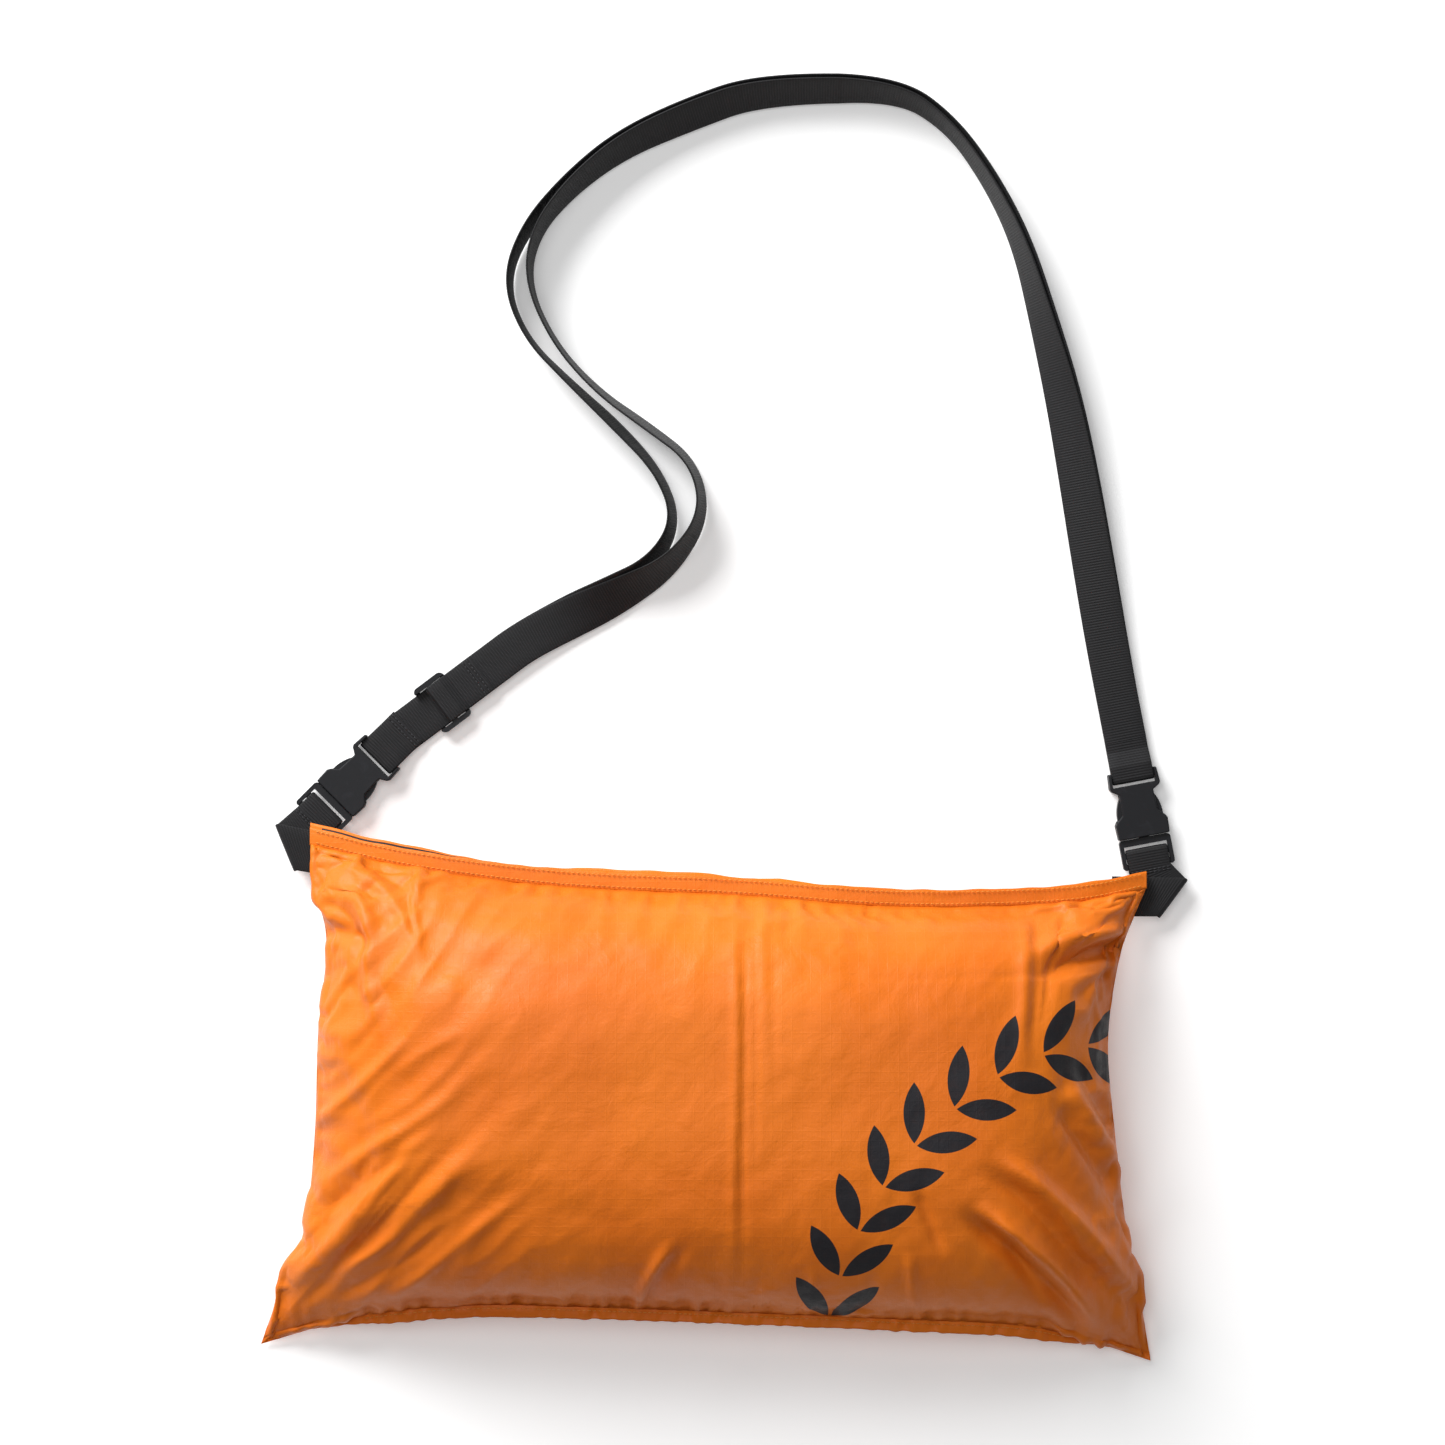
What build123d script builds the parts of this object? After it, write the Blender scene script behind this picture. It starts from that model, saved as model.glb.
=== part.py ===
from build123d import *
import math
import os

# Stuffed roll-top stuff sack lying on its back, with its webbing shoulder strap clipped on.
# Millimetres. +X runs along the sack from its left side to its right, +Y towards the mouth,
# +Z up from the surface it lies on. The origin is the middle of the sack's flat underside.

FLOOR_GAP = 0.3             # smallest height of the hardware above the surface
RUNNING_GAP = 0.3           # clearance between pieces that move or lie against each other

# Fabric sack
FABRIC_THICK = 0.8          # panel with its seam allowance and coating
SACK_TOP = 94.0             # height of the crown when it is packed
UNDERSIDE_FLAT = 0.4        # how far the underside would sink if the surface did not hold it flat
SWELL_POWER = 0.6           # lower is fuller towards the edges
LONG_SWELL = 3.0            # flatness of the crown across the width
SHORT_SWELL = 2.4           # flatness of the crown from bottom to mouth
MOUTH_HEM = 9.0             # folded hem at the mouth
BOTTOM_HEM = 6.0            # felled seam along the bottom
SEAM_TAPE = 6.0
HEM_GAP = 1.3               # a hem starts this far outside the panel edge
BACK_DROP = 1.7             # the back panel's edge lies this far under the seam line

# The seam line round the sack, corner to corner, with its height above the surface
TOP_EDGE = [
    (-241, 151, 16), (-181, 138, 26), (-92, 127, 34), (11, 122, 36),
    (111, 115, 34), (209, 117, 26), (258, 125, 16),
]
BOTTOM_EDGE = [
    (-272, -150, 3), (-231, -137, 10), (-201, -129, 19), (-144, -122.5, 29), (-82, -122.5, 34),
    (27, -126, 36), (111, -130, 34), (180, -135, 25), (222, -146, 11), (262, -160, 3),
]
LEFT_EDGE = [
    (-272, -150, 3), (-257, -110, 13), (-243, -76, 24), (-236, -20, 34),
    (-234, 40, 34), (-230, 92, 26), (-238, 128, 18), (-241, 151, 16),
]
RIGHT_EDGE = [
    (262, -160, 3), (254, -118, 13), (245, -78, 24), (237, -20, 34),
    (233, 34, 33), (240, 80, 25), (249, 105, 19), (258, 125, 16),
]

# The packed load: a tapered block
PACKED_SECTIONS = [         # height above the surface, width, depth and corner radius
    (3, 240, 100, 45), (12, 320, 145, 55), (36, 388, 180, 60), (62, 350, 150, 60), (82, 250, 90, 40),
]
PACKED_Y = -6.0

# Webbing and its buckles
WEBBING_WIDTH = 25.0
WEBBING_THICK = 1.2
LOWER_WEB = 2.6             # height of the middle of the strap's lower layer
UPPER_WEB = 4.4             # and of its upper layer
OVER_BAR = 7.4              # and where it passes over a buckle's bar
TAIL_WEB = 5.9              # a sewn end lying on the upper layer

BUCKLE_WIDTH = 31.5
BUCKLE_HEIGHT = 9.4
BUCKLE_MIDDLE = FLOOR_GAP + BUCKLE_HEIGHT / 2
PLUG_HEIGHT = 5.0
BAR_HEIGHT = 2.6
SLOT_HALF_WIDTH = 13.2
MOUTH_AT = 16.5             # distance from the plug's end bar to the socket's mouth
SOCKET_END = 56.5
CAVITY_HEIGHT = 5.6
PRONG_PIVOT = (17.8, 12.2)  # where each prong flexes, along and across the buckle
PRONG_THICK = 2.8
PRONG_SIDES = {"left": {"outer": 1, "inner": -1}, "right": {"inner": 1, "outer": -1}}

LEFT_BUCKLE = ((-238.6, 165.6), 45.0)       # place of the plug's end bar, and heading
RIGHT_BUCKLE = ((260.7, 138.5), 100.7)

# Where each corner tab folds over, outer end first, and where its sewn end stops
LEFT_TAB_FOLD = ((-261.0, 162.5), (-249.5, 134.5))
LEFT_TAB_END = ((-222.0, 155.0), (-222.0, 130.0))
RIGHT_TAB_FOLD = ((282.0, 130.0), (265.0, 107.0))
RIGHT_TAB_END = ((238.0, 131.0), (238.0, 107.0))
TAB_START = -2.0            # along the buckle: the tab's upper layer starts over the plug's end bar,
TAB_TURN = 9.4              # turns round its second bar,
TAB_TAIL = -14.0            # and its lower layer ends here
FOLD_BEND = 2.0             # outer radius of the fold at the corner
TURN_RADIUS = 1.6           # middle radius of webbing turning round a buckle's bar

# Tri-glide adjuster
GLIDE_AT = (-163.0, 235.0)
GLIDE_HEADING = math.degrees(math.atan2(0.6, 0.8))
GLIDE_LENGTH = 21.0
GLIDE_WIDTH = 32.0
GLIDE_BAR = 3.0
STRAP_START = 16.0          # the strap's two layers start this far past the tri-glide

# The strap's route, lower layer then upper layer, from the tri-glide to the crown of the loop
LOWER_LEFT = [
    (-150.2, 244.6), (-121.4, 266.2), (-92, 284), (-62, 300), (-36, 318), (-22, 344), (-33, 373),
    (-58, 400), (-86, 426), (-113, 453), (-125, 486), (-113, 518), (-88, 545), (-57, 569),
    (-17, 587), (28, 603), (75, 603),
]
UPPER_LEFT = [
    (-150.2, 244.6), (-121.4, 266.2), (-90, 283), (-57, 299), (-25, 318), (-5, 347), (-12, 379),
    (-40, 401), (-71, 422), (-96, 450), (-113, 486), (-105, 518), (-82, 545), (-54, 569),
    (-16, 586), (29, 603), (75, 603),
]
# and from there down to the right-hand buckle
LOWER_RIGHT = [
    (75, 603), (110, 603), (142, 582), (166, 549), (185, 511), (198, 465), (210, 418),
    (219, 371), (228, 318),
]
UPPER_RIGHT = [
    (75, 603), (111, 603), (143, 583), (167, 550), (184, 511), (197, 465), (208, 418),
    (217, 371), (226, 318),
]
STRAP_TURN = 50.4           # along a buckle: the strap turns round the socket's bar here,
STRAP_TURN_END = 75.0       # and on the right-hand one the turn ends here
ANCHOR_TAIL = 78.0          # end of the left-hand anchor's sewn tail
LAST_RUN = 45.0             # the strap's last run, in line with that buckle
ANCHOR_RUN = 47.0           # the anchor's run from its slight bend to the strap's start

STITCH = 0.6                # height of the thread


def edge_through(points):
    return Spline(*[Vector(*p) for p in points])


def swell(t, power):
    return max(0.0, 1 - abs(2 * t - 1) ** power) ** SWELL_POWER


def crowded(count):
    """Parameters from 0 to 1, closer together at both ends."""
    return [(1 - math.cos(math.pi * i / count)) / 2 for i in range(count + 1)]


def seam_surface_point(edges, u, v):
    """Point of the smooth surface that the four seam lines bound."""
    top, bottom, left, right = edges
    corners = (bottom @ 0) * (1 - u) * (1 - v) + (bottom @ 1) * u * (1 - v)
    corners += (top @ 0) * (1 - u) * v + (top @ 1) * u * v
    return (bottom @ u) * (1 - v) + (top @ u) * v + (left @ v) * (1 - u) + (right @ v) * u - corners


def panel(edges, is_front):
    """One of the two fabric panels, as a sheet of even thickness."""
    rows = []
    for v in crowded(14):
        row = []
        for u in crowded(24):
            p = seam_surface_point(edges, u, v)
            full = swell(u, LONG_SWELL) * swell(v, SHORT_SWELL)
            if is_front:
                height = p.Z + RUNNING_GAP + (SACK_TOP - p.Z) * full
            else:
                rest = 1 - (1 - full**2) ** 4
                height = (p.Z - BACK_DROP) * (1 - rest) - UNDERSIDE_FLAT * rest
            row.append(Vector(p.X, p.Y, height))
        rows.append(row)
    return Face.make_surface_from_array_of_points(rows)


def front_panel(edges):
    return Solid.thicken(panel(edges, True), FABRIC_THICK, normal_override=(0, 0, 1))


def back_panel(edges):
    thick = FABRIC_THICK + UNDERSIDE_FLAT
    body = Solid.thicken(panel(edges, False), thick, normal_override=(0, 0, 1))
    below = Pos(0, 0, -25) * Box(900, 900, 50)
    return body - below


def ribbon(edge, reach, lift, thick, span=(0.0, 1.0), direction=1):
    """Flat strip of hem along one seam line, from HEM_GAP to reach outside it."""
    rows = []
    for out in (HEM_GAP, (HEM_GAP + reach) / 2, reach):
        row = []
        for i in range(25):
            p = edge @ (span[0] + (span[1] - span[0]) * i / 24)
            row.append(Vector(p.X, p.Y + direction * out, p.Z + lift))
        rows.append(row)
    return Solid.thicken(Face.make_surface_from_array_of_points(rows), thick, normal_override=(0, 0, 1))


def side_tape(edge, inward):
    """Seam tape inside a side seam."""
    rows = []
    for step in (2.5, 2.5 + SEAM_TAPE / 2, 2.5 + SEAM_TAPE):
        row = []
        for i in range(25):
            p = edge @ (0.22 + 0.6 * i / 24)
            row.append(Vector(p.X + inward * step, p.Y, p.Z - 0.1))
        rows.append(row)
    return Solid.thicken(Face.make_surface_from_array_of_points(rows), 0.6, normal_override=(0, 0, 1))


def packed_contents():
    slices = [Pos(0, PACKED_Y, z) * RectangleRounded(w, d, r) for z, w, d, r in PACKED_SECTIONS]
    return loft(slices)


def placed(buckle):
    """Location of a buckle's own frame: X from plug to socket, Y across, Z up."""
    (x, y), heading = buckle
    return Location((x, y, 0), (0, 0, heading))


def block(x0, x1, y0, y1, z0, z1):
    return Pos((x0 + x1) / 2, (y0 + y1) / 2, (z0 + z1) / 2) * Box(x1 - x0, y1 - y0, z1 - z0)


def slab(points, z0, z1):
    """Flat plate with a straight-sided outline."""
    return extrude(Pos(0, 0, z0) * make_face(Polyline(*points, close=True)), z1 - z0, dir=(0, 0, 1))


def rounded_bar(x0, x1):
    """Crossbar that the webbing wraps round."""
    bar = block(x0, x1, -14.5, 14.5, BUCKLE_MIDDLE - BAR_HEIGHT / 2, BUCKLE_MIDDLE + BAR_HEIGHT / 2)
    return fillet(bar.edges().filter_by(Axis.Y), 0.8)


def buckle_plug():
    """Plug half of the side-release buckle without its two prongs."""
    low, high = BUCKLE_MIDDLE - PLUG_HEIGHT / 2, BUCKLE_MIDDLE + PLUG_HEIGHT / 2
    body = block(-2, 16, -15.5, 15.5, low, high)
    body = fillet(body.edges().filter_by(Axis.Z), 2.0)
    body -= block(-3, 12, -SLOT_HALF_WIDTH, SLOT_HALF_WIDTH, 0, 12)
    body += rounded_bar(-2, 1.5) + rounded_bar(4.5, 8.5)
    tongue = block(15.5, 34, -3, 3, BUCKLE_MIDDLE - 1.8, BUCKLE_MIDDLE + 1.8)
    body += fillet(tongue.edges().group_by(Axis.X)[-1], 1.0)
    return body


def buckle_prong(side):
    """Sprung arm of the plug that holds the socket, and is squeezed in to release it."""
    low, high = BUCKLE_MIDDLE - PLUG_HEIGHT / 2, BUCKLE_MIDDLE + PLUG_HEIGHT / 2
    x0, pivot_y = PRONG_PIVOT
    half = PRONG_THICK / 2
    outer, inner = pivot_y + half, pivot_y - half
    outline = (
        Line((x0, outer), (27, outer)),
        ThreePointArc((27, outer), (36, 12.7), (43, 9.3)),
        ThreePointArc((43, 9.3), (43.4, 8.0), (42.2, 7.7)),
        ThreePointArc((42.2, 7.7), (36, 9.8), (28, inner)),
        Line((28, inner), (x0, inner)),
        ThreePointArc((x0, inner), (x0 - half, pivot_y), (x0, outer)),
    )
    arm = extrude(Pos(0, 0, low) * make_face(outline), high - low, dir=(0, 0, 1))
    return arm if side > 0 else mirror(arm, Plane.XZ)


def buckle_socket():
    """Socket half of the buckle: flared mouth, open-sided waist and webbing bar."""
    half = BUCKLE_WIDTH / 2
    upper_side = [
        (MOUTH_AT, half - 0.4), (25.5, half), (27.5, 14.6), (31, 10.8), (43.5, 10.3),
        (46, 14.4), (47.5, 15.2), (SOCKET_END, 14.6),
    ]
    lower_side = [(x, -y) for x, y in reversed(upper_side)]
    body = slab(upper_side + lower_side, FLOOR_GAP, FLOOR_GAP + BUCKLE_HEIGHT)
    body = fillet(body.edges().filter_by(Axis.Z), 0.9)
    rims = body.edges().group_by(Axis.Z)
    body = fillet(rims[0] + rims[-1], 0.8)
    low, high = BUCKLE_MIDDLE - CAVITY_HEIGHT / 2, BUCKLE_MIDDLE + CAVITY_HEIGHT / 2
    body -= block(MOUTH_AT - 1, 27.5, -14.0, 14.0, low, high)
    body -= block(27, 44, -20, 20, low, high)
    body -= block(47.9, SOCKET_END + 1, -SLOT_HALF_WIDTH, SLOT_HALF_WIDTH, -1, 12)
    return body + rounded_bar(51.3, SOCKET_END)


def webbing_profile(points, radius):
    """Webbing bent in its own side view; points are along and up."""
    flat = trace(FilletPolyline(*points, radius=radius), WEBBING_THICK)
    return extrude(Plane.XZ * flat, WEBBING_WIDTH / 2, both=True)


def corner_tab(buckle, fold, sewn_end):
    """Webbing tab: round the plug's bars, back, folded over at the corner and under the mouth hem."""
    frame = placed(buckle)
    side_view = [(TAB_START, OVER_BAR), (TAB_TURN, OVER_BAR), (TAB_TURN, LOWER_WEB), (TAB_TAIL, LOWER_WEB)]
    tab = frame * webbing_profile(side_view, TURN_RADIUS)
    half = WEBBING_WIDTH / 2
    corners = [frame * Pos(TAB_START, y, 0) for y in (half, -half)]
    bar_side = [tuple(c.position)[:2] for c in corners]
    (ax, ay), (bx, by) = fold
    if math.dist(bar_side[0], fold[0]) > math.dist(bar_side[1], fold[0]):
        bar_side.reverse()
    layer_top = OVER_BAR + WEBBING_THICK / 2
    tab += slab([bar_side[0], fold[0], fold[1], bar_side[1]], layer_top - WEBBING_THICK, layer_top)
    middle = layer_top - WEBBING_THICK + FOLD_BEND
    upper_top = middle + FOLD_BEND
    tab += slab([fold[0], fold[1], sewn_end[1], sewn_end[0]], upper_top - WEBBING_THICK, upper_top)
    along = Vector(bx - ax, by - ay, 0)
    inwards = Vector(sewn_end[0][0] - ax, sewn_end[0][1] - ay, 0)
    outward = along.cross(Vector(0, 0, 1)).normalized()
    if outward.dot(inwards) > 0:
        outward = -outward
    ring = Circle(FOLD_BEND) - Circle(FOLD_BEND - WEBBING_THICK)
    half_ring = ring & Pos(FOLD_BEND, 0) * Rectangle(2 * FOLD_BEND, 4 * FOLD_BEND)
    crease = Plane(origin=(ax, ay, middle), x_dir=outward, z_dir=along.normalized())
    return tab + extrude(crease * half_ring, along.length, dir=along.normalized())


def strap_anchor():
    """Strap's first end: sewn round the left socket's bar, and on through the tri-glide."""
    frame = placed(LEFT_BUCKLE)
    side_view = [
        (61, LOWER_WEB), (STRAP_TURN, LOWER_WEB), (STRAP_TURN, OVER_BAR), (60, OVER_BAR),
        (68, UPPER_WEB), (ANCHOR_TAIL, UPPER_WEB),
    ]
    wrap = webbing_profile(side_view, TURN_RADIUS)
    start = (frame * Pos(60, 0, 0)).position
    heading = Vector(math.cos(math.radians(GLIDE_HEADING)), math.sin(math.radians(GLIDE_HEADING)))
    end = Vector(*GLIDE_AT) + heading * STRAP_START
    bend = end - heading * ANCHOR_RUN
    path = FilletPolyline((start.X, start.Y), (bend.X, bend.Y), (end.X, end.Y), radius=60)
    run = trace(path, WEBBING_WIDTH)
    return frame * wrap + extrude(Pos(0, 0, LOWER_WEB - WEBBING_THICK / 2) * run, WEBBING_THICK)


def strap_turn():
    """Where the strap turns back round the right socket's bar."""
    side_view = [
        (STRAP_TURN_END, LOWER_WEB), (STRAP_TURN, LOWER_WEB), (STRAP_TURN, OVER_BAR), (60, OVER_BAR),
        (69, UPPER_WEB), (STRAP_TURN_END, UPPER_WEB),
    ]
    return placed(RIGHT_BUCKLE) * webbing_profile(side_view, TURN_RADIUS)


def tri_glide():
    """Three-bar adjuster: two outer bars under the strap, the middle one above it."""
    half_l, half_w = GLIDE_LENGTH / 2, GLIDE_WIDTH / 2
    top = UPPER_WEB + 2.9
    body = block(-half_l, half_l, -half_w, half_w, FLOOR_GAP, top)
    body = fillet(body.edges().filter_by(Axis.Z), 3.0)
    body -= block(-half_l + GLIDE_BAR, half_l - GLIDE_BAR, -SLOT_HALF_WIDTH, SLOT_HALF_WIDTH, -1, 12)
    body -= block(-20, 20, -SLOT_HALF_WIDTH, SLOT_HALF_WIDTH, LOWER_WEB - 0.9, 12)
    body += block(-2, 2, -14.5, 14.5, top - 2, top)
    return body


def strap_end_loop():
    """Strap's second end, sewn round the tri-glide's middle bar."""
    side_view = [
        (30, TAIL_WEB), (12, TAIL_WEB), (6, OVER_BAR + 0.8), (-2.9, OVER_BAR + 0.8),
        (-2.9, UPPER_WEB), (STRAP_START, UPPER_WEB),
    ]
    return webbing_profile(side_view, 1.4)


def to_right_buckle(points):
    """A right-hand route with its last run in line with the buckle."""
    frame = placed(RIGHT_BUCKLE)
    ends = [(frame * Pos(x, 0, 0)).position for x in (STRAP_TURN_END + LAST_RUN, STRAP_TURN_END)]
    return points + [(e.X, e.Y) for e in ends]


def strand(name, points, height):
    """One layer of the strap, laid flat along its route."""
    radii = []
    for a, b, c in zip(points, points[1:], points[2:]):
        before, after = Vector(b[0] - a[0], b[1] - a[1]), Vector(c[0] - b[0], c[1] - b[1])
        half_turn = math.radians(before.get_angle(after) / 2)
        radii.append(0.45 * min(before.length, after.length) / math.tan(half_turn))
    path = FilletPolyline(*points, radius=radii)
    body = extrude(Pos(0, 0, height - WEBBING_THICK / 2) * trace(path, WEBBING_WIDTH), WEBBING_THICK)
    expected = path.length * WEBBING_WIDTH * WEBBING_THICK
    print(f"{name}: length {path.length:.0f}, least radius {min(radii):.0f}, "
          f"volume over section times length {body.volume / expected:.3f}")
    return body


def stitch_rows(places, along, across, height):
    """Short bars of thread across the webbing."""
    rows = Part()
    for x in places:
        rows += Pos(x, 0, height) * Box(along, across, STITCH)
    return rows


def glide_frame():
    return Location((*GLIDE_AT, 0), (0, 0, GLIDE_HEADING))


def sack_nodes():
    edges = [edge_through(p) for p in (TOP_EDGE, BOTTOM_EDGE, LEFT_EDGE, RIGHT_EDGE)]
    top, bottom, left, right = edges
    return {
        "front_panel": front_panel(edges),
        "back_panel": back_panel(edges),
        "packed_contents": packed_contents(),
        "mouth_hem_front": ribbon(top, MOUTH_HEM + HEM_GAP, 0.8, 0.7),
        "mouth_stiffener": ribbon(top, MOUTH_HEM, -0.4, 0.9, span=(0.04, 0.96)),
        "mouth_hem_back": ribbon(top, MOUTH_HEM + HEM_GAP, -1.4, 0.7),
        "bottom_hem": ribbon(bottom, BOTTOM_HEM + HEM_GAP, -0.6, 1.2, span=(0.13, 0.9), direction=-1),
        "side_seam_left": side_tape(left, 1),
        "side_seam_right": side_tape(right, -1),
    }


def hardware_nodes():
    nodes = {}
    for side, buckle in (("left", LEFT_BUCKLE), ("right", RIGHT_BUCKLE)):
        frame = placed(buckle)
        nodes[f"buckle_plug_{side}"] = frame * buckle_plug()
        for place, across in PRONG_SIDES[side].items():
            nodes[f"prong_{side}_{place}"] = frame * buckle_prong(across)
        nodes[f"buckle_socket_{side}"] = frame * buckle_socket()
    nodes["tri_glide"] = glide_frame() * tri_glide()
    return nodes


def webbing_nodes():
    tab_row = OVER_BAR + WEBBING_THICK / 2 + STITCH / 2
    anchor_row = UPPER_WEB + WEBBING_THICK / 2 + STITCH / 2
    loop_row = TAIL_WEB + WEBBING_THICK / 2 + STITCH / 2
    return {
        "tab_left": corner_tab(LEFT_BUCKLE, LEFT_TAB_FOLD, LEFT_TAB_END),
        "tab_right": corner_tab(RIGHT_BUCKLE, RIGHT_TAB_FOLD, RIGHT_TAB_END),
        "tab_stitching_left": placed(LEFT_BUCKLE) * stitch_rows((-5, -3.5), 0.7, 20, tab_row),
        "tab_stitching_right": placed(RIGHT_BUCKLE) * stitch_rows((-5, -3.5), 0.7, 20, tab_row),
        "strap_anchor": strap_anchor(),
        "anchor_stitching": placed(LEFT_BUCKLE) * stitch_rows((73, 76), 0.7, 22, anchor_row),
        "strap_turn": strap_turn(),
        "strap_end_loop": glide_frame() * strap_end_loop(),
        "end_loop_stitching": glide_frame() * stitch_rows((24, 27), 0.7, 22, loop_row),
        "strap_lower_left": strand("strap_lower_left", LOWER_LEFT, LOWER_WEB),
        "strap_upper_left": strand("strap_upper_left", UPPER_LEFT, UPPER_WEB),
        "strap_lower_right": strand("strap_lower_right", to_right_buckle(LOWER_RIGHT), LOWER_WEB),
        "strap_upper_right": strand("strap_upper_right", to_right_buckle(UPPER_RIGHT), UPPER_WEB),
    }


os.makedirs("parts", exist_ok=True)
for node, shape in {**sack_nodes(), **hardware_nodes(), **webbing_nodes()}.items():
    export_step(shape, f"parts/{node}.step")
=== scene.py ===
import math

import bpy
import numpy as np
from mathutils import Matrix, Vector, noise


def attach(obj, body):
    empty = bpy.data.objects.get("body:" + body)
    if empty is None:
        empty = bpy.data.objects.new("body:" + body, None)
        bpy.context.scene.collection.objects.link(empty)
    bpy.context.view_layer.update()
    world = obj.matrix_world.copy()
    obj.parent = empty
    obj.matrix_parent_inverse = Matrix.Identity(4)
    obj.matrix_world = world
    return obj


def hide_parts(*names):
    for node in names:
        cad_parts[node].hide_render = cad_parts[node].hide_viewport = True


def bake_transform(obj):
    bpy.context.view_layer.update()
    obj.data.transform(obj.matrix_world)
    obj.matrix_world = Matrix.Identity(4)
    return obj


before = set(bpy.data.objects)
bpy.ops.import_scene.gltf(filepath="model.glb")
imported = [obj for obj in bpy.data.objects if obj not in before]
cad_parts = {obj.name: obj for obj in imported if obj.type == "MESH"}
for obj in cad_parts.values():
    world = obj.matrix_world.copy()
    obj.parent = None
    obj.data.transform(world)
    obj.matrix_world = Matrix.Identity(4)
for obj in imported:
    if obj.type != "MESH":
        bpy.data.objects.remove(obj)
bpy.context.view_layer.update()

MM = 0.001

# ---------------------------------------------------------------- places and sizes, in millimetres

# Seam line round the sack, corner to corner, with its height
TOP_EDGE = [
    (-241, 151, 16), (-181, 138, 26), (-92, 127, 34), (11, 122, 36),
    (111, 115, 34), (209, 117, 26), (258, 125, 16),
]
BOTTOM_EDGE = [
    (-272, -150, 3), (-231, -137, 10), (-201, -129, 19), (-144, -122.5, 29), (-82, -122.5, 34),
    (27, -126, 36), (111, -130, 34), (180, -135, 25), (222, -146, 11), (262, -160, 3),
]
LEFT_EDGE = [
    (-272, -150, 3), (-257, -110, 13), (-243, -76, 24), (-236, -20, 34),
    (-234, 40, 34), (-230, 92, 26), (-238, 128, 18), (-241, 151, 16),
]
RIGHT_EDGE = [
    (262, -160, 3), (254, -118, 13), (245, -78, 24), (237, -20, 34),
    (233, 34, 33), (240, 80, 25), (249, 105, 19), (258, 125, 16),
]
CROWN = 94.0
COLUMNS, ROWS = 136, 82
SWELL_POWER, SWELL_ACROSS, SWELL_UP = 0.6, 3.0, 2.4
PANEL_GAP = 0.35             # half the gap between the two panels at the seam
FABRIC = 0.3

SIM_FRAMES = 20
SIM_CAP = 9.0                # most that the cloth simulation moves the fabric
SIM_HELD_BELOW = 1.5         # fabric lower than this lies on the floor and stays put
BROAD_PASSES, BROAD_TAKEN = 50, 0.75   # blur that finds the broad movement, and the share taken out
SIM_REACH = 75.0             # the simulation's puckers fade out over this distance from a seam

# Folds pressed in the front: height of the ridge (or depth, if below 0), its width and its line
FOLDS = [
    (1.1, 2.6, [(12, 124), (13, 40), (11, -60), (13, -118)]),
    (-1.2, 2.4, [(17, 124), (18, 40), (16, -60), (18, -118)]),
    (-0.8, 2.0, [(23, 122), (24, 30), (22, -60)]),
    (-0.6, 2.2, [(35, 120), (34, 60), (36, 0)]),
    (1.6, 4.0, [(184, 116), (180, 70), (176, 17)]),
    (-1.0, 3.5, [(190, 116), (187, 70), (183, 25)]),
    (-6.5, 5.5, [(250, 92), (228, 88), (204, 82), (186, 70)]),
    (4.6, 4.5, [(250, 101), (228, 98), (202, 94), (180, 84)]),
    (-2.2, 4.0, [(240, 76), (222, 70), (208, 58)]),
    (-4.5, 5.0, [(-238, 104), (-222, 100), (-206, 96), (-196, 84)]),
    (4.2, 5.0, [(-236, 126), (-218, 124), (-203, 108), (-198, 64), (-190, 30)]),
    (-3.2, 4.5, [(-238, 116), (-222, 114), (-210, 100), (-206, 70)]),
    (2.0, 3.6, [(-226, 140), (-200, 128), (-184, 112), (-172, 86)]),
    (-1.8, 3.2, [(-214, 142), (-196, 134), (-176, 120)]),
    (3.2, 5.0, [(-266, -128), (-228, -86), (-186, -38), (-145, 8)]),
    (-2.6, 5.0, [(-262, -138), (-218, -94), (-176, -48), (-136, -6)]),
    (2.4, 4.5, [(-240, -60), (-206, -30), (-163, -1), (-132, 30)]),
    (-2.0, 4.0, [(-240, -72), (-200, -42), (-156, -14)]),
    (2.0, 4.2, [(-236, -16), (-206, 12), (-170, 46)]),
    (-1.6, 3.6, [(-238, 6), (-208, 34), (-184, 60)]),
    (2.4, 4.5, [(-240, -112), (-196, -82), (-158, -44), (-120, -4)]),
    (-2.0, 4.0, [(-226, -118), (-180, -90), (-142, -56)]),
    (1.8, 3.8, [(-204, -122), (-172, -100), (-138, -70), (-104, -40)]),
    (-5.0, 5.5, [(150, -30), (176, -50), (209, -86), (249, -130)]),
    (5.0, 5.0, [(158, -24), (186, -44), (219, -78), (254, -124)]),
    (-7.5, 5.5, [(140, -56), (162, -76), (195, -108), (224, -142)]),
    (8.0, 5.0, [(150, -52), (172, -70), (203, -100), (236, -142)]),
    (-4.0, 5.0, [(196, 6), (212, -16), (240, -62)]),
    (3.6, 4.5, [(203, 14), (222, -12), (243, -52)]),
    (-3.0, 4.5, [(209, 30), (222, 6), (236, -24)]),
    (-2.6, 3.2, [(116, -44), (124, -64), (134, -88)]),
    (2.4, 2.8, [(112, -80), (115, -102), (119, -128)]),
    (-2.6, 3.4, [(170, -66), (178, -92), (196, -124)]),
    (3.0, 3.2, [(-46, -126), (-40, -104), (-21, -71)]),
    (-2.4, 3.2, [(-38, -126), (-32, -104), (-14, -76)]),
    (1.4, 2.8, [(52, -128), (58, -108), (56, -86)]),
    (-1.4, 2.8, [(84, -130), (92, -110), (90, -92)]),
]

WEB_WIDTH, WEB_THICK = 25.0, 1.25
RIB_PITCH, RIB_HEIGHT = 1.6, 0.28
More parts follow.
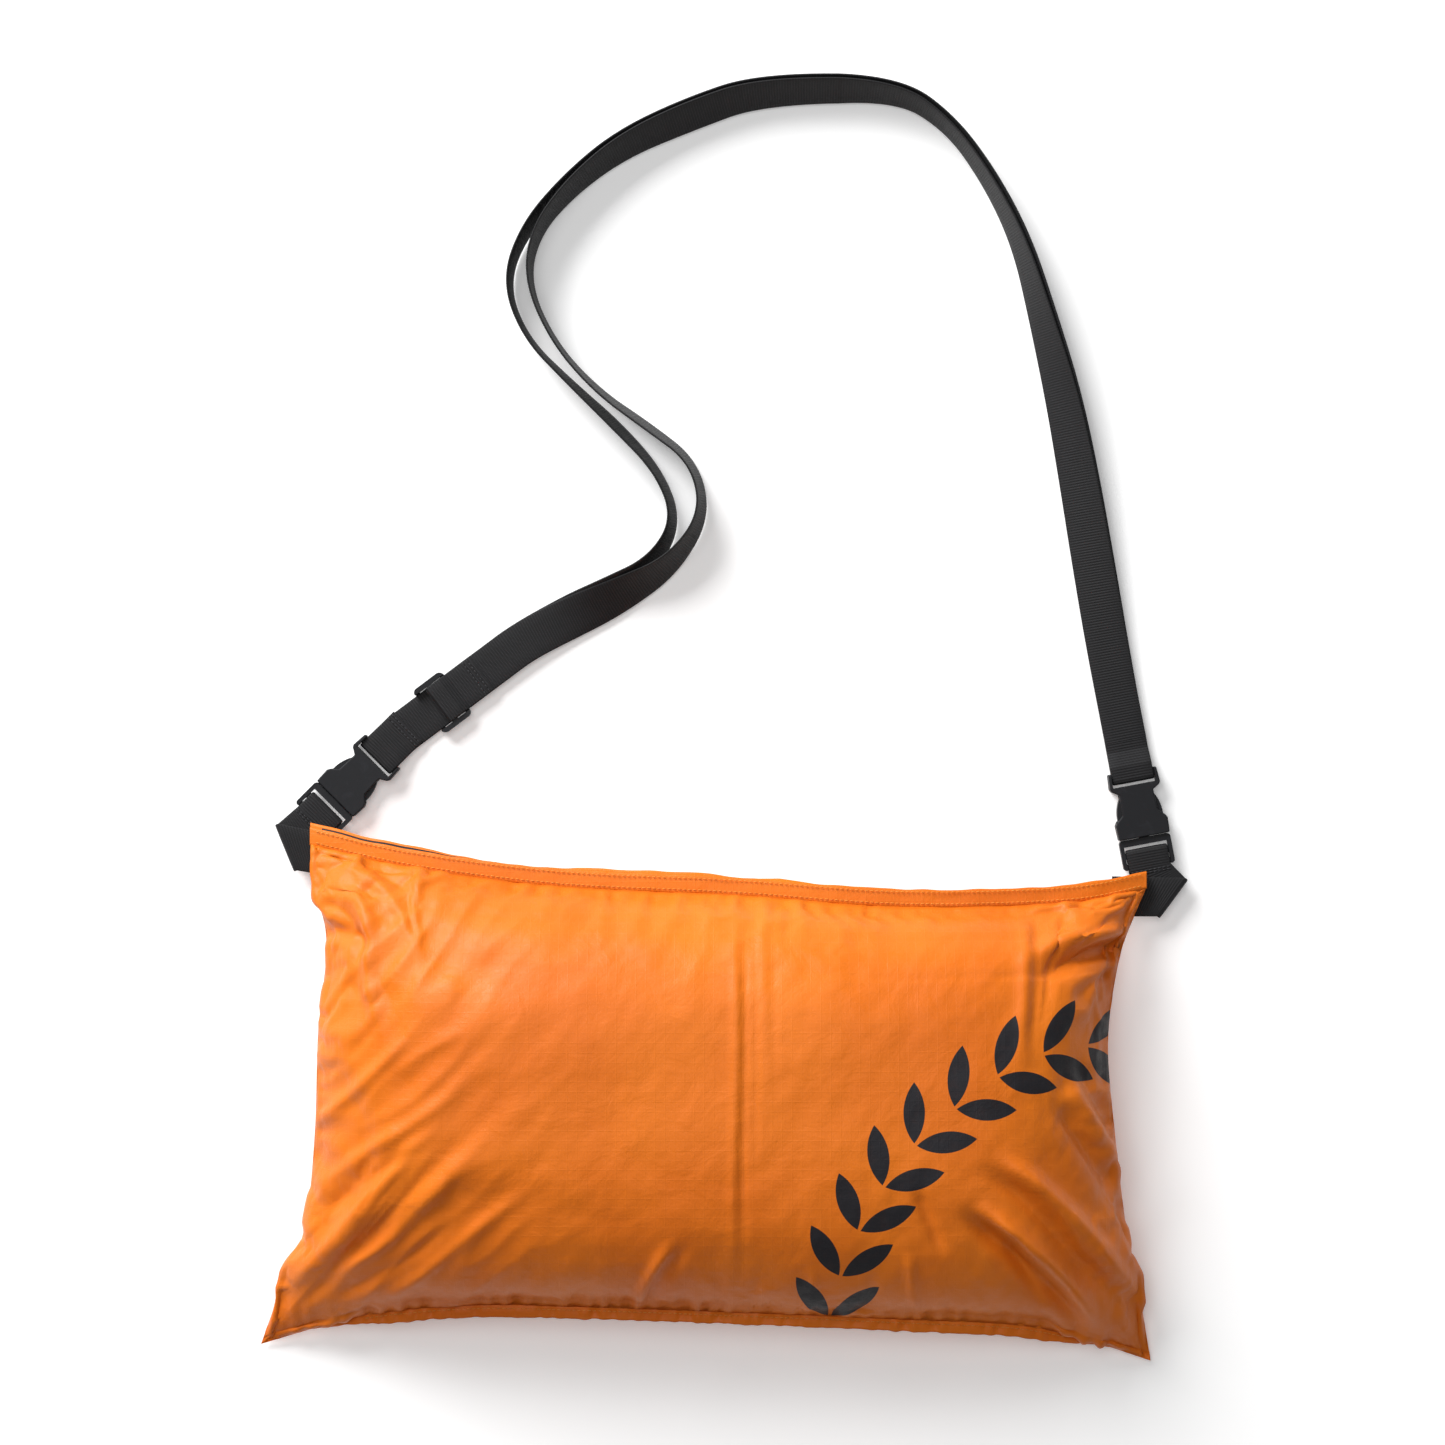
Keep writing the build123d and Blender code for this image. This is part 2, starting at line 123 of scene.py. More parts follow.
# Heights of webbing under a bar, back out of it, over it, and of the tail at the tri-glide
LOWER_WEB, UPPER_WEB, OVER_BAR, TAIL_WEB = 2.6, 4.4, 7.4, 5.9
SOCKET_TURN = 50.4           # where webbing turns round a socket's bar, in the buckle's own frame
# Place and heading of each buckle and of the tri-glide
LEFT_BUCKLE = ((-238.6, 165.6), 45.0)
RIGHT_BUCKLE = ((260.7, 138.5), 100.7)
GLIDE_WAY = (0.8, 0.6)
GLIDE = ((-163.0, 235.0), math.degrees(math.atan2(GLIDE_WAY[1], GLIDE_WAY[0])))
FLAT_POINTS = 3              # the strap lies flat for this many points, where the tri-glide slides
FLOOR_GAP = 0.1
INNER_LIFT = 1.6             # height of the inner strand over the outer one, where both lie flat

# The strap's two strands, from the tri-glide to the crown of the loop: place and roll,
# where 0 degrees lies flat and 90 stands on edge
OUTER_LEFT = [
    (-150.2, 244.6, 0), (-132.2, 258.1, 0), (-114.6, 271.3, 0), (-90, 285, 7), (-62, 300, 38),
    (-36, 318, 70), (-22, 344, 80), (-33, 373, 79), (-58, 400, 74), (-86, 426, 80),
    (-113, 453, 84), (-125, 486, 86), (-113, 518, 82), (-88, 545, 74), (-57, 569, 64),
    (-17, 587, 55), (28, 603, 60), (75, 603, 64),
]
INNER_LEFT = [
    (-150.2, 244.6, 0), (-132.2, 258.1, 0), (-114.6, 271.3, 0), (-88, 285, 7), (-57, 299, 36),
    (-25, 317, 66), (-5, 347, 78), (-12, 379, 79), (-40, 400, 76), (-70, 421, 80),
    (-96, 450, 84), (-112, 486, 86), (-107, 516, 82), (-86, 542.5, 74), (-55.5, 567, 64),
    (-16, 585, 55), (28.5, 600.6, 60), (75, 600.6, 64),
]
OUTER_RIGHT = [
    (75, 603, 64), (110, 603, 74), (142, 582, 83), (166, 549, 81), (185, 511, 75), (198, 465, 62),
    (210, 418, 44), (219, 371, 31), (228, 318, 20), (238.4, 256.4, 6), (246.8, 212.2, 0),
]
INNER_RIGHT = [
    (75, 600.6, 64), (109, 600.6, 74), (140, 580, 83), (163.5, 547.5, 81), (182.5, 510, 75),
    (195.5, 464.5, 62), (208, 418, 44), (217.5, 371, 31), (226.8, 318, 20), (238, 256.4, 6),
    (246.8, 212.2, 0),
]


def at(points):
    """Points in metres, from millimetres."""
    return [tuple(c * MM for c in p) for p in points]


# ---------------------------------------------------------------- curves and ribbons

def nurbs_points(points, resolution=28):
    """Points of the smooth quadratic NURBS line that a list of control points makes."""
    data = bpy.data.curves.new("line", "CURVE")
    data.dimensions = "3D"
    data.resolution_u = resolution
    spline = data.splines.new("NURBS")
    spline.points.add(len(points) - 1)
    for control, point in zip(spline.points, points):
        control.co = (*point, 1)
    spline.order_u = 3
    spline.use_endpoint_u = True
    line = bpy.data.objects.new("line", data)
    mesh = bpy.data.meshes.new_from_object(line)
    found = np.array([v.co for v in mesh.vertices])
    bpy.data.objects.remove(line)
    bpy.data.meshes.remove(mesh)
    bpy.data.curves.remove(data)
    return found


def arc_lengths(points):
    """Distance along a line of points to each of them."""
    return np.concatenate([[0], np.cumsum(np.linalg.norm(np.diff(points, axis=0), axis=1))])


def evenly(points, step, *others):
    """Points and other rows that go with them, taken again at even steps along the line."""
    along = arc_lengths(points)
    count = max(2, int(round(along[-1] / step)) + 1)
    wanted = np.linspace(0, along[-1], count)
    result = []
    for rows in (points, *others):
        rows = np.asarray(rows, float)
        columns = rows.reshape(len(rows), -1).T
        taken = np.stack([np.interp(wanted, along, c) for c in columns], axis=1)
        result.append(taken.reshape(count, *rows.shape[1:]))
    return wanted, *result


def unit(rows):
    return rows / np.linalg.norm(rows, axis=-1, keepdims=True)


def add_mesh(name, vertices, faces, material, uvs=None):
    """Smooth-shaded piece of vertices in metres."""
    mesh = bpy.data.meshes.new(name)
    mesh.from_pydata([tuple(v) for v in vertices], [], faces)
    mesh.validate()
    mesh.materials.append(material)
    if uvs is not None:
        layer = mesh.uv_layers.new(name="weave")
        for loop in mesh.loops:
            layer.data[loop.index].uv = uvs[loop.vertex_index]
    for face in mesh.polygons:
        face.use_smooth = True
    piece = bpy.data.objects.new(name, mesh)
    bpy.context.collection.objects.link(piece)
    return piece


# Webbing's cross-section from edge to edge: place, share of full thickness, share of rib height
SECTION = [
    (-1, 0.35, 0), (-0.985, 0.8, 0), (-0.94, 1, 0.4), (-0.5, 1, 1), (0, 1, 1), (0.5, 1, 1),
    (0.94, 1, 0.4), (0.985, 0.8, 0), (1, 0.35, 0),
]


def webbing(name, points, rolls=None, sides=None):
    """Ribbed webbing along points: rolls are degrees from flat, or sides the directions across it."""
    spare = np.zeros(len(points)) if rolls is None else rolls
    rows = np.zeros((len(points), 3)) if sides is None else sides
    along, centre, roll, across = evenly(np.asarray(points), RIB_PITCH * MM / 4, spare, rows)
    tangent = unit(np.gradient(centre, axis=0))
    if sides is None:
        flat = unit(np.cross([0, 0, 1], tangent))
        rise = np.cross(tangent, flat)
        angle = np.radians(roll)[:, None]
        across = np.cos(angle) * flat + np.sin(angle) * rise
    out = unit(np.cross(tangent, across))
    half = WEB_WIDTH / 2 * MM
    wave = np.cos(2 * math.pi * along / (RIB_PITCH * MM))
    thick = WEB_THICK / 2 * MM
    rings, uvs = [], []
    for face, section in ((1, SECTION), (-1, SECTION[::-1])):
        for place, full, ribbed in section:
            height = thick * full + RIB_HEIGHT / 2 * MM * ribbed * wave
            rings.append(centre + across * half * place + out * (face * height)[:, None])
            uvs.append(np.stack([np.full(len(along), place * half), along], axis=1))
    width = len(rings)
    vertices = np.stack(rings, axis=1).reshape(-1, 3)
    texture = np.stack(uvs, axis=1).reshape(-1, 2)
    faces = []
    for i in range(len(along) - 1):
        for k in range(width):
            a, b = i * width + k, i * width + (k + 1) % width
            faces.append((a, b, b + width, a + width))
    faces.append(tuple(reversed(range(width))))
    faces.append(tuple(range((len(along) - 1) * width, len(along) * width)))
    return add_mesh(name, vertices, faces, WEBBING, texture)


def strand_path(route, lift, first=None, last=None):
    """Centre line and rolls of a strand whose lower edge lies on the floor, or lift over it where
    the strand is flat; first and last are its heights at the sewn ends."""
    heights = [WEB_THICK / 2 + lift * math.cos(math.radians(r)) + WEB_WIDTH / 2 * math.sin(math.radians(r))
               for _, _, r in route]
    if first is not None:
        heights[:FLAT_POINTS] = [first] * FLAT_POINTS
    if last is not None:
        heights[-1] = last
    places = nurbs_points(at([(x, y, z + FLOOR_GAP) for (x, y, _), z in zip(route, heights)]))
    rolls = nurbs_points([(r / 90, i, 0) for i, (_, _, r) in enumerate(route)])[:, 0] * 90
    return places, rolls


def in_buckle(buckle, x, y, z):
    """A point of a buckle's own frame, in metres."""
    (ox, oy), heading = buckle
    c, s = math.cos(math.radians(heading)), math.sin(math.radians(heading))
    return np.array([ox + c * x - s * y, oy + s * x + c * y, z]) * MM


def across_buckle(buckle):
    """Unit vector across a buckle's webbing."""
    return in_buckle(((0, 0), buckle[1]), 0, 1000, 0)


# ---------------------------------------------------------------- materials

def start_material(name):
    """New material with its node tree and its shader."""
    material = bpy.data.materials.new(name)
    material.use_nodes = True
    tree = material.node_tree
    tree.nodes.clear()
    shader = tree.nodes.new("ShaderNodeBsdfPrincipled")
    output = tree.nodes.new("ShaderNodeOutputMaterial")
    tree.links.new(shader.outputs[0], output.inputs[0])
    return material, tree, shader


def feed(tree, socket, value):
    """Links a socket to an input, or sets the input to a value."""
    if isinstance(value, bpy.types.NodeSocket):
        tree.links.new(value, socket)
    else:
        socket.default_value = value


def add(tree, kind, inputs=None, **settings):
    """Node with its inputs set to values or linked to sockets, by name or place."""
    made = tree.nodes.new("ShaderNode" + kind)
    for key, value in settings.items():
        setattr(made, key, value)
    for key, value in (inputs or {}).items():
        feed(tree, made.inputs[key], value)
    return made


def maths(tree, operation, *values):
    return add(tree, "Math", dict(enumerate(values)), operation=operation).outputs[0]


def ranged(tree, value, low, high, start=0.0, end=1.0):
    """A value mapped from low..high to start..end, and kept within it."""
    return add(tree, "MapRange", dict(enumerate((value, low, high, start, end)))).outputs[0]


def object_place(tree):
    return add(tree, "TexCoord").outputs["Object"]


def noise_value(tree, vector, scale, detail, roughness, distortion=0.0):
    inputs = {"Vector": vector, "Scale": scale, "Detail": detail, "Roughness": roughness,
              "Distortion": distortion}
    return add(tree, "TexNoise", inputs).outputs["Fac"]


def mix(tree, factor, a, b):
    """Mix of two colours, each a socket or red, green and blue."""
    made = add(tree, "Mix", {0: factor}, data_type="RGBA")
    for key, colour in ((6, a), (7, b)):
        feed(tree, made.inputs[key], (*colour, 1) if isinstance(colour, tuple) else colour)
    return made.outputs[2]


def bumps(tree, shader, *layers):
    """Stacks bump layers of (height socket, depth in metres, strength)."""
    normal = None
    for height, depth, strength in layers:
        inputs = {"Height": height, "Distance": depth, "Strength": strength}
        if normal is not None:
            inputs["Normal"] = normal
        normal = add(tree, "Bump", inputs).outputs[0]
    tree.links.new(normal, shader.inputs["Normal"])


# The print: a plain branch of paired leaves along an arc; place and heading of each pair
BRANCH = [
    (68, -128, 82), (73, -98, 76), (83, -70, 66), (97, -44, 56), (115, -20, 48), (138, 1, 40),
    (163, 19, 30), (190, 31, 14), (218, 34, -6),
]
LEAF_HALF_LENGTH, LEAF_HALF_WIDTH, LEAF_ANGLE = 17.5, 6.2, 42.0
LEAF_STEM = 1.5              # from the middle of a pair to the base of each leaf
INK_EDGE = 0.00012           # half the width over which the ink's edge fades, in metres


def print_mask(tree, flat):
    """1 where the ink is, from circles cut by circles."""
    def distance(x, y):
        centre = (x * MM, y * MM, 0)
        return add(tree, "VectorMath", {0: flat, 1: centre}, operation="DISTANCE").outputs["Value"]

    reach = LEAF_HALF_LENGTH**2 / LEAF_HALF_WIDTH
    radius, spread = (reach + LEAF_HALF_WIDTH) / 2, (reach - LEAF_HALF_WIDTH) / 2
    shapes = []
    for x, y, heading in BRANCH:
        for turn in (LEAF_ANGLE, -LEAF_ANGLE):
            a = math.radians(heading + turn)
            middle = LEAF_HALF_LENGTH + LEAF_STEM
            mx, my = x + middle * math.cos(a), y + middle * math.sin(a)
            sides = []
            for way in (1, -1):
                found = distance(mx - way * spread * math.sin(a), my + way * spread * math.cos(a))
                sides.append(maths(tree, "SUBTRACT", radius * MM, found))
            shapes.append(maths(tree, "MINIMUM", *sides))
    inked = shapes[0]
    for shape in shapes[1:]:
        inked = maths(tree, "MAXIMUM", inked, shape)
    return ranged(tree, inked, -INK_EDGE, INK_EDGE)


GRID_PITCH, GRID_THREAD = 0.0028, 0.0003     # ripstop's heavier threads, in metres
WEAVE_WAVES = 14000.0                        # radians of weave for each metre


def ripstop(name, printed=False, shade=1.0):
    """Thin coated ripstop nylon: fine weave, a grid of heavier threads, crumpled satin surface."""
    material, tree, shader = start_material(name)
    place = object_place(tree)
    x, y, _ = add(tree, "SeparateXYZ", {0: place}).outputs
    flat = add(tree, "CombineXYZ", {0: x, 1: y}).outputs[0]
    threads = []
    for axis in (x, y):
        near = maths(tree, "PINGPONG", axis, GRID_PITCH)
        threads.append(ranged(tree, near, GRID_THREAD, 0.0))
    grid = maths(tree, "MAXIMUM", *threads)
    warp, weft = (maths(tree, "SINE", maths(tree, "MULTIPLY", axis, WEAVE_WAVES)) for axis in (x, y))
    weave = maths(tree, "MULTIPLY", warp, weft)
    broad = noise_value(tree, place, 9.0, 3.0, 0.5)
    crumple = noise_value(tree, place, 38.0, 6.0, 0.55, 0.6)
    fine = noise_value(tree, place, 160.0, 5.0, 0.6, 0.4)
    # shade over 1 makes a lighter copy of this same nylon for the hems: painted light
    light = tuple(c * shade for c in (0.72, 0.172, 0.010))
    deep = tuple(c * shade for c in (0.64, 0.136, 0.008))
    colour = mix(tree, ranged(tree, broad, 0.35, 0.68), deep, light)
    colour = mix(tree, maths(tree, "MULTIPLY", grid, 0.05), colour, (0.80, 0.30, 0.05))
    roughness = ranged(tree, fine, 0.3, 0.7, 0.36, 0.50)
    if printed:
        ink = print_mask(tree, flat)
        worn = maths(tree, "MULTIPLY", ink, ranged(tree, fine, 0.2, 0.5, 0.985, 1.0))
        colour = mix(tree, worn, colour, (0.016, 0.015, 0.018))
        roughness = maths(tree, "ADD", roughness, maths(tree, "MULTIPLY", ink, 0.10))
    tree.links.new(colour, shader.inputs["Base Color"])
    tree.links.new(roughness, shader.inputs["Roughness"])
    shader.inputs["Sheen Weight"].default_value = 0.02
    shader.inputs["Sheen Roughness"].default_value = 0.4
    shader.inputs["Sheen Tint"].default_value = (1.0, 0.72, 0.45, 1)
    shader.inputs["Specular IOR Level"].default_value = 0.22
    bumps(tree, shader, (crumple, 0.0022, 0.45), (fine, 0.0006, 0.35), (grid, 0.00008, 0.6),
          (weave, 0.00003, 0.5))
    return material


WARP_PITCH = 0.0009


def webbing_material(name, shade=(0.0035, 0.0035, 0.004)):
    """Black nylon webbing: crosswise ribs, fine warp lines along it, painted shade in the rib grooves."""
    material, tree, shader = start_material(name)
    uv = add(tree, "UVMap", uv_map="weave").outputs[0]
    across, along, _ = add(tree, "SeparateXYZ", {0: uv}).outputs
    rib = maths(tree, "COSINE", maths(tree, "MULTIPLY", along, 2 * math.pi / (RIB_PITCH * MM)))
    warp = maths(tree, "SINE", maths(tree, "MULTIPLY", across, 2 * math.pi / WARP_PITCH))
    place = object_place(tree)
    fuzz = noise_value(tree, place, 900.0, 3.0, 0.6)
    patchy = noise_value(tree, place, 60.0, 3.0, 0.5)
    weave = maths(tree, "MULTIPLY", rib, warp)
    tone = maths(tree, "ADD", maths(tree, "MULTIPLY", weave, 0.22), maths(tree, "MULTIPLY", fuzz, 0.9))
    tone = maths(tree, "ADD", tone, maths(tree, "MULTIPLY", patchy, 0.25))
    # painted shade: the colour darkens to a quarter in the grooves between the ribs
    painted_groove_shade = ranged(tree, rib, -0.6, 0.9)
    tone = maths(tree, "MULTIPLY", tone, maths(tree, "ADD", maths(tree, "MULTIPLY", painted_groove_shade, 0.75), 0.25))
    colour = mix(tree, ranged(tree, tone, 0.12, 0.85), shade, tuple(c * 5.0 for c in shade))
    tree.links.new(colour, shader.inputs["Base Color"])
    shader.inputs["Roughness"].default_value = 0.66
    shader.inputs["Specular IOR Level"].default_value = 0.3
    shader.inputs["Sheen Weight"].default_value = 0.04
    shader.inputs["Sheen Roughness"].default_value = 0.35
    bumps(tree, shader, (weave, 0.00012, 0.5), (fuzz, 0.0001, 0.4))
    return material


def plastic_material(name):
    """Moulded black acetal with a fine spark-eroded texture."""
    material, tree, shader = start_material(name)
    place = object_place(tree)
    grain = noise_value(tree, place, 2600.0, 3.0, 0.6)
    scuff = noise_value(tree, place, 120.0, 4.0, 0.6, 0.5)
    colour = mix(tree, ranged(tree, scuff, 0.55, 0.8), (0.0085, 0.009, 0.011), (0.017, 0.018, 0.022))
    tree.links.new(colour, shader.inputs["Base Color"])
    tree.links.new(ranged(tree, scuff, 0.3, 0.75, 0.48, 0.62), shader.inputs["Roughness"])
    shader.inputs["Specular IOR Level"].default_value = 0.22
    bumps(tree, shader, (grain, 0.00004, 0.5), (scuff, 0.00005, 0.3))
    return material


def thread_material(name, shade):
    """Twisted bonded thread, with painted shade in the grooves of its twist."""
    material, tree, shader = start_material(name)
    wave = {"Vector": object_place(tree), "Scale": 900.0, "Distortion": 2.0}
    twist_with_painted_shade = add(tree, "TexWave", wave, bands_direction="DIAGONAL").outputs["Fac"]
    # painted shade: the grooves of the twist are coloured darker
    tree.links.new(mix(tree, twist_with_painted_shade, tuple(c * 0.7 for c in shade), shade), shader.inputs["Base Color"])
    shader.inputs["Roughness"].default_value = 0.5
    bumps(tree, shader, (twist_with_painted_shade, 0.00008, 0.5))
    return material


def fill_material(name):
    """Folded soft textile packed in the sack."""
    material, tree, shader = start_material(name)
    cloth = noise_value(tree, object_place(tree), 70.0, 5.0, 0.6, 0.8)
    tree.links.new(mix(tree, cloth, (0.42, 0.40, 0.37), (0.66, 0.64, 0.60)), shader.inputs["Base Color"])
    shader.inputs["Roughness"].default_value = 0.85
    bumps(tree, shader, (cloth, 0.002, 0.6))
    return material


NYLON_FRONT = ripstop("ripstop_printed", printed=True)
NYLON = ripstop("ripstop_plain")
# The hem copies are the panel nylon painted lighter: painted light on the same fabric
NYLON_HEM_PAINTED_LIGHTER = ripstop("ripstop_hem", shade=1.04)
NYLON_HEM_INSIDE_PAINTED_LIGHTER = ripstop("ripstop_hem_inside", shade=1.12)
WEBBING = webbing_material("black_webbing")
PLASTIC = plastic_material("black_acetal")
THREAD = thread_material("black_thread", (0.03, 0.03, 0.034))
ORANGE_THREAD = thread_material("orange_thread", (0.85, 0.30, 0.03))
STIFFENER = plastic_material("mouth_tape_black")
FILL = fill_material("packed_textile")


# ---------------------------------------------------------------- the fabric sack

def through(points, t):
    """Smooth line through points, at shares t of its length (Catmull-Rom)."""
    p = np.array(points, float)
    p = np.vstack([2 * p[0] - p[1], p, 2 * p[-1] - p[-2]])
    chord = arc_lengths(p[1:-1])
    place = np.interp(t, chord / chord[-1], np.arange(len(chord)))
    i = np.clip(place.astype(int), 0, len(chord) - 2)
    f = (place - i)[:, None]
    a, b, c, d = p[i], p[i + 1], p[i + 2], p[i + 3]
    square, cube = 2 * a - 5 * b + 4 * c - d, 3 * b - a - 3 * c + d
    return 0.5 * (2 * b + (c - a) * f + square * f**2 + cube * f**3)


def swell(t, power):
    """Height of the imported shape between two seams, as a share of the crown."""
    return np.maximum(0, 1 - np.abs(2 * t - 1) ** power) ** SWELL_POWER


def denser_at_ends(count):
    """Shares from 0 to 1, closer together near both ends."""
    even = np.linspace(0, 1, count + 1)
    return (1 - np.cos(np.pi * even)) / 4 + even / 2


def sack_grid():
    """Rest grid of both panels: front and back points by row and column, in millimetres."""
    u, v = denser_at_ends(COLUMNS), denser_at_ends(ROWS)
    top, bottom = through(TOP_EDGE, u), through(BOTTOM_EDGE, u)
    left, right = through(LEFT_EDGE, v), through(RIGHT_EDGE, v)
    U, V = u[None, :, None], v[:, None, None]
    seam = (1 - V) * bottom[None] + V * top[None] + (1 - U) * left[:, None] + U * right[:, None]
    seam -= (1 - U) * (1 - V) * bottom[0] + U * (1 - V) * bottom[-1] + (1 - U) * V * top[0] + U * V * top[-1]
    full = swell(u, SWELL_ACROSS)[None, :] * swell(v, SWELL_UP)[:, None]
    front, back = seam.copy(), seam.copy()
    front[..., 2] += PANEL_GAP + (CROWN - seam[..., 2]) * full
    rest = 1 - (1 - full**2) ** 4
    back[..., 2] = (seam[..., 2] - PANEL_GAP) * (1 - rest) + 0.5 * rest
    return front, back


def from_edge(grid):
    """Distances of every place from the bottom and mouth seams and from the nearer side seam."""
    up = np.cumsum(np.linalg.norm(np.diff(grid, axis=0, prepend=grid[:1]), axis=2), axis=0)
    over = np.cumsum(np.linalg.norm(np.diff(grid, axis=1, prepend=grid[:, :1]), axis=2), axis=1)
    return up, up[-1:] - up, np.minimum(over, over[:, -1:] - over)


def both_sides(upper, lower):
    """Faces of two grids of vertex numbers, one facing up and the other down."""
    faces = []
    for i in range(upper.shape[0] - 1):
        for j in range(upper.shape[1] - 1):
            faces.append((upper[i, j], upper[i, j + 1], upper[i + 1, j + 1], upper[i + 1, j]))
            faces.append((lower[i, j], lower[i + 1, j], lower[i + 1, j + 1], lower[i, j + 1]))
    return faces


def whole(faces):
    return [tuple(int(k) for k in face) for face in faces]


def blurred(values, passes):
    """A grid of values smoothed along both of its directions, with its edges kept."""
    smooth = values.copy()
    for _ in range(passes):
        for axis in (0, 1):
            m = np.moveaxis(smooth, axis, 0)
            m[1:-1] = (m[:-2] + 2 * m[1:-1] + m[2:]) / 4
    return smooth


def inflate(front, back):
    """Cloth simulation: the two panels, sewn round their edge, swell and pucker under pressure."""
    rows, columns = front.shape[:2]
    inner = (rows - 2) * (columns - 2)
    number = np.arange(rows * columns).reshape(rows, columns)
    under = number.copy()
    under[1:-1, 1:-1] = rows * columns + np.arange(inner).reshape(rows - 2, columns - 2)
    edge_mean = (front + back) / 2
    top = front.copy()
    for cut in (np.s_[0, :], np.s_[-1, :], np.s_[:, 0], np.s_[:, -1]):
        top[cut] = edge_mean[cut]
    vertices = np.vstack([top.reshape(-1, 3), back[1:-1, 1:-1].reshape(-1, 3)]) * MM
    mesh = bpy.data.meshes.new("cloth")
    mesh.from_pydata([tuple(v) for v in vertices], [], whole(both_sides(number, under)))
    cloth = bpy.data.objects.new("cloth", mesh)
    bpy.context.collection.objects.link(cloth)
    held = cloth.vertex_groups.new(name="held")
    edge = set(number[0]) | set(number[-1]) | set(number[:, 0]) | set(number[:, -1])
    low = {int(i) for i in np.flatnonzero(vertices[:, 2] < SIM_HELD_BELOW * MM)}
    held.add([int(i) for i in edge | low], 1.0, "REPLACE")
    modifier = cloth.modifiers.new("Cloth", "CLOTH")
    settings = modifier.settings
    settings.quality = 5
    settings.mass = 0.12
    settings.tension_stiffness = settings.compression_stiffness = 12
    settings.shear_stiffness = 4
    settings.bending_stiffness = 0.05
    settings.use_pressure = True
    settings.uniform_pressure_force = 2.0
    settings.shrink_min = -0.04
    settings.vertex_group_mass = "held"
    settings.effector_weights.gravity = 0
    scene = bpy.context.scene
    scene.frame_start, scene.frame_end = 1, SIM_FRAMES
    for step in range(1, SIM_FRAMES + 1):
        scene.frame_set(step)
    done = cloth.evaluated_get(bpy.context.evaluated_depsgraph_get()).to_mesh()
    found = np.array([v.co for v in done.vertices])
    scene.frame_set(1)
    bpy.data.objects.remove(cloth)
    moved = (found - vertices) / MM
    size = np.maximum(np.linalg.norm(moved, axis=1, keepdims=True), 1e-9)
    moved *= SIM_CAP * np.tanh(size / SIM_CAP) / size
    vertices /= MM
    sheets = []
    for which in (number, under):
        move, still = moved[which], vertices[which]
        bottom, mouth, side = from_edge(still)
        by_seams = np.clip(1.1 - np.minimum(np.minimum(bottom, mouth), side) / SIM_REACH, 0.18, 1)
        at_left = np.clip((-90 - still[..., 0]) / 110, 0, 0.7)
        share = np.maximum(by_seams, at_left)
        sheets.append(still + (move - BROAD_TAKEN * blurred(move, BROAD_PASSES)) * share[..., None])
    return sheets


front, back = sack_grid()
front, back = inflate(front, back)


def finer(grid):
    """Grid with a new row and column between each pair, on the smooth surface through the old ones."""
    for axis in (0, 1):
        g = np.moveaxis(grid, axis, 0)
        padded = np.concatenate([2 * g[:1] - g[1:2], g, 2 * g[-1:] - g[-2:-1]])
        between = (9 * (padded[1:-2] + padded[2:-1]) - padded[:-3] - padded[3:]) / 16
        joined = np.empty((2 * len(g) - 1, *g.shape[1:]))
        joined[0::2], joined[1::2] = g, between
        grid = np.moveaxis(joined, 0, axis)
    return grid


def normals(grid):
    """Unit normals of a grid, upwards on the front."""
    return unit(np.cross(np.gradient(grid, axis=1), np.gradient(grid, axis=0)))


def to_line(xy, line):
    """Distance of each place from a line of points, and its share of the way along it."""
    best, share = np.full(xy.shape[:-1], 1e9), np.zeros(xy.shape[:-1])
    line = np.array(line, float)
    along = arc_lengths(line)
    for a, b, start in zip(line, line[1:], along):
        d = b - a
        t = np.clip(((xy - a) @ d) / (d @ d), 0, 1)
        away = np.linalg.norm(xy - a - t[..., None] * d, axis=-1)
        nearer = away < best
        best = np.where(nearer, away, best)
        share = np.where(nearer, (start + t * np.linalg.norm(d)) / along[-1], share)
    return best, share


def folds(grid):
    """Height of the pressed folds over the front panel."""
    xy = grid[..., :2]
    height = np.zeros(xy.shape[:-1])
    for size, width, line in FOLDS:
        curve = through([(x, y, 0) for x, y in line], np.linspace(0, 1, 24))[:, :2]
        away, share = to_line(xy, curve)
        taper = np.clip(np.minimum(share / 0.25, (1 - share) / 0.35), 0, 1)
        height += size * np.exp(-(away / width) ** 2) * (taper * taper * (3 - 2 * taper))
    return height


def noise_over(grid, across, along, heading, seed):
    """Noise stretched along a heading, between -1 and 1."""
    a = math.radians(heading)
    x, y = grid[..., 0], grid[..., 1]
    u = (x * math.cos(a) + y * math.sin(a)) / along
    v = (-x * math.sin(a) + y * math.cos(a)) / across
    flat = [noise.noise((p, q, seed)) for p, q in zip(u.ravel(), v.ravel())]
    return np.array(flat).reshape(x.shape)


def crumple(grid, edge_share):
    """Soft wrinkles: diagonal ones at the left, finer ones near the seams."""
    x, y = grid[..., 0], grid[..., 1]
    left = np.clip((-60 - x) / 90, 0, 1)
    right = np.clip((x - 110) / 80, 0, 1) * np.clip((30 - y) / 80, 0, 1)
    ridged = 0.5 - np.abs(noise_over(grid, 17, 70, 46, 3.1))
    falling = 0.5 - np.abs(noise_over(grid, 16, 80, -48, 8.2))
    broad = noise_over(grid, 42, 60, 20, 1.7)
    small = noise_over(grid, 9, 14, 60, 5.5)
    height = 3.4 * left * ridged + 3.0 * right * falling + 1.3 * broad
    return height + small * (0.35 + 1.1 * edge_share)


def gathers(grid, edge_place, reach, pitch, size, seed):
    """Puckers standing off a seam, fading out over reach; edge_place is the distance from the seam."""
    x = grid[..., 0] + 5 * noise_over(grid, 60, 24, 0, seed)
    uneven = 0.65 + 0.9 * noise_over(grid, 90, 20, 0, seed + 4)
    return size * uneven * np.cos(2 * math.pi * x / pitch) * np.exp(-edge_place / reach)


